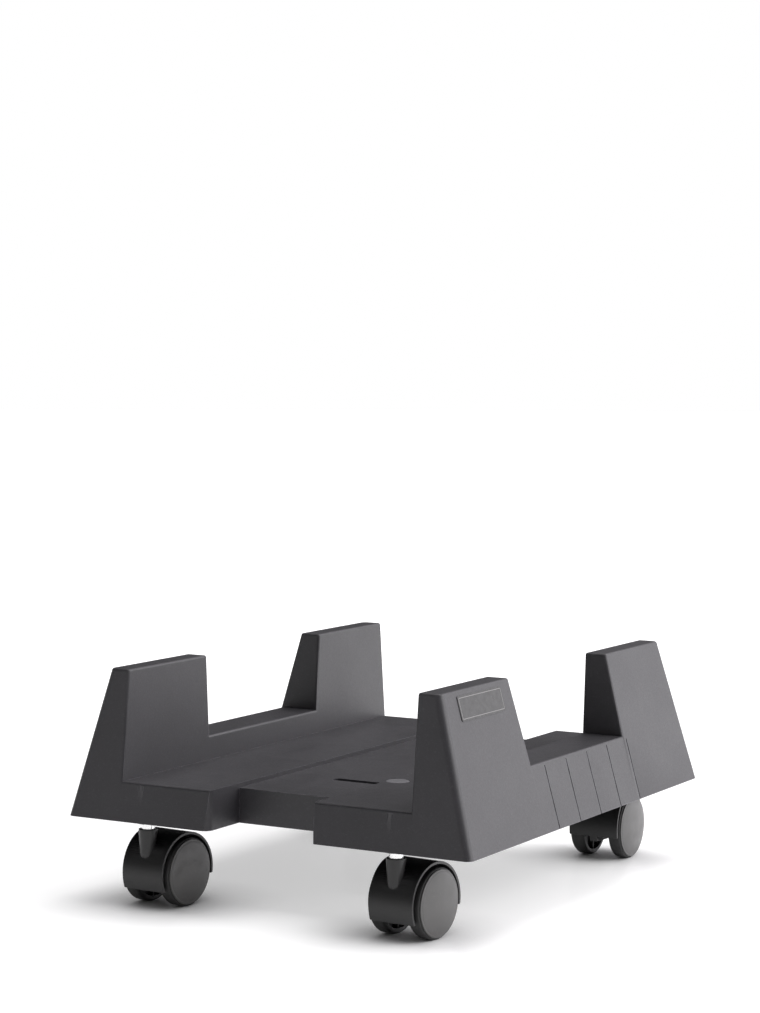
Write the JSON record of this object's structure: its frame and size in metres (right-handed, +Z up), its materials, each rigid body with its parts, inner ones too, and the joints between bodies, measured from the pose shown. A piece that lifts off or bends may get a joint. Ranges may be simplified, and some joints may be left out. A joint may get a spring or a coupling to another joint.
{
  "type": "computer tower stand",
  "caption": "Low wheeled stand for a computer tower: two moulded plastic halves with tapered corner pillars that slide together to fit the case, on swivelling twin-wheel castors.",
  "frame": {"origin": "on the floor under the centre of the stand", "axes": "+X to the right half, +Y to the back, +Z up"},
  "size_m": [0.2654, 0.312, 0.1375],
  "materials": {
    "moulding": "fine-grained matte moulded ABS",
    "label": "semi-gloss plain label",
    "hood_plastic": "satin moulded nylon",
    "wheel_plastic": "matte moulded tread",
    "cap_plastic": "satin moulded disc",
    "knob_plastic": "satin moulded",
    "bright_steel": "bright plated",
    "zinc_steel": "zinc plated",
    "brass": "turned"
  },
  "bodies": {
    "left_half": {"left_side": "moulding", "fl_sleeve": "hood_plastic", "fl_grip_ring": "zinc_steel", "rl_sleeve": "hood_plastic", "rl_grip_ring": "zinc_steel"},
    "right_half": {"right_side": "moulding", "label_plate": "label", "clamp_bolts": "zinc_steel", "clamp_washers": "zinc_steel", "fr_sleeve": "hood_plastic", "fr_grip_ring": "zinc_steel", "rr_sleeve": "hood_plastic", "rr_grip_ring": "zinc_steel"},
    "front_knob": {"front_knob": "knob_plastic", "front_knob_insert": "brass"},
    "rear_knob": {"rear_knob": "knob_plastic", "rear_knob_insert": "brass"},
    "fl_castor": {"fl_stem": "bright_steel", "fl_hood": "hood_plastic", "fl_axle": "zinc_steel"},
    "fl_left_wheel": {"fl_left_wheel": "wheel_plastic", "fl_left_cap": "cap_plastic"},
    "fl_right_wheel": {"fl_right_wheel": "wheel_plastic", "fl_right_cap": "cap_plastic"},
    "fr_castor": {"fr_stem": "bright_steel", "fr_hood": "hood_plastic", "fr_axle": "zinc_steel"},
    "fr_left_wheel": {"fr_left_wheel": "wheel_plastic", "fr_left_cap": "cap_plastic"},
    "fr_right_wheel": {"fr_right_wheel": "wheel_plastic", "fr_right_cap": "cap_plastic"},
    "rl_castor": {"rl_stem": "bright_steel", "rl_hood": "hood_plastic", "rl_axle": "zinc_steel"},
    "rl_left_wheel": {"rl_left_wheel": "wheel_plastic", "rl_left_cap": "cap_plastic"},
    "rl_right_wheel": {"rl_right_wheel": "wheel_plastic", "rl_right_cap": "cap_plastic"},
    "rr_castor": {"rr_stem": "bright_steel", "rr_hood": "hood_plastic", "rr_axle": "zinc_steel"},
    "rr_left_wheel": {"rr_left_wheel": "wheel_plastic", "rr_left_cap": "cap_plastic"},
    "rr_right_wheel": {"rr_right_wheel": "wheel_plastic", "rr_right_cap": "cap_plastic"}
  },
  "joints": [
    {"name": "width_adjust", "type": "slide", "parent": "left_half", "child": "right_half", "axis": [1, 0, 0], "range_m": [-0.04, 0.025]},
    {"name": "front_knob_turn", "type": "hinge", "parent": "right_half", "child": "front_knob", "pos_m": [0.04, -0.07, 0.0604], "axis": [0, 0, -1], "continuous": true},
    {"name": "rear_knob_turn", "type": "hinge", "parent": "right_half", "child": "rear_knob", "pos_m": [0.04, 0.07, 0.0604], "axis": [0, 0, -1], "continuous": true},
    {"name": "fl_swivel", "type": "hinge", "parent": "left_half", "child": "fl_castor", "pos_m": [-0.082, -0.1464, 0.05], "axis": [0, 0, 1], "continuous": true},
    {"name": "fl_left_wheel_spin", "type": "hinge", "parent": "fl_castor", "child": "fl_left_wheel", "pos_m": [-0.0809, -0.12934, 0.02], "axis": [0.9979, -0.0645, 0], "continuous": true},
    {"name": "fl_right_wheel_spin", "type": "hinge", "parent": "fl_castor", "child": "fl_right_wheel", "pos_m": [-0.0809, -0.12934, 0.02], "axis": [0.9979, -0.0645, 0], "continuous": true},
    {"name": "fr_swivel", "type": "hinge", "parent": "right_half", "child": "fr_castor", "pos_m": [0.082, -0.1464, 0.05], "axis": [0, 0, 1], "continuous": true},
    {"name": "fr_left_wheel_spin", "type": "hinge", "parent": "fr_castor", "child": "fr_left_wheel", "pos_m": [0.08337, -0.12935, 0.02], "axis": [0.9968, -0.0802, 0], "continuous": true},
    {"name": "fr_right_wheel_spin", "type": "hinge", "parent": "fr_castor", "child": "fr_right_wheel", "pos_m": [0.08337, -0.12935, 0.02], "axis": [0.9968, -0.0802, 0], "continuous": true},
    {"name": "rl_swivel", "type": "hinge", "parent": "left_half", "child": "rl_castor", "pos_m": [-0.082, 0.1464, 0.05], "axis": [0, 0, 1], "continuous": true},
    {"name": "rl_left_wheel_spin", "type": "hinge", "parent": "rl_castor", "child": "rl_left_wheel", "pos_m": [-0.08319, 0.12934, 0.02], "axis": [-0.9976, 0.0698, 0], "continuous": true},
    {"name": "rl_right_wheel_spin", "type": "hinge", "parent": "rl_castor", "child": "rl_right_wheel", "pos_m": [-0.08319, 0.12934, 0.02], "axis": [-0.9976, 0.0698, 0], "continuous": true},
    {"name": "rr_swivel", "type": "hinge", "parent": "right_half", "child": "rr_castor", "pos_m": [0.082, 0.1464, 0.05], "axis": [0, 0, 1], "continuous": true},
    {"name": "rr_left_wheel_spin", "type": "hinge", "parent": "rr_castor", "child": "rr_left_wheel", "pos_m": [0.0823, 0.1293, 0.02], "axis": [-0.9998, -0.0175, 0], "continuous": true},
    {"name": "rr_right_wheel_spin", "type": "hinge", "parent": "rr_castor", "child": "rr_right_wheel", "pos_m": [0.0823, 0.1293, 0.02], "axis": [-0.9998, -0.0175, 0], "continuous": true}
  ]
}
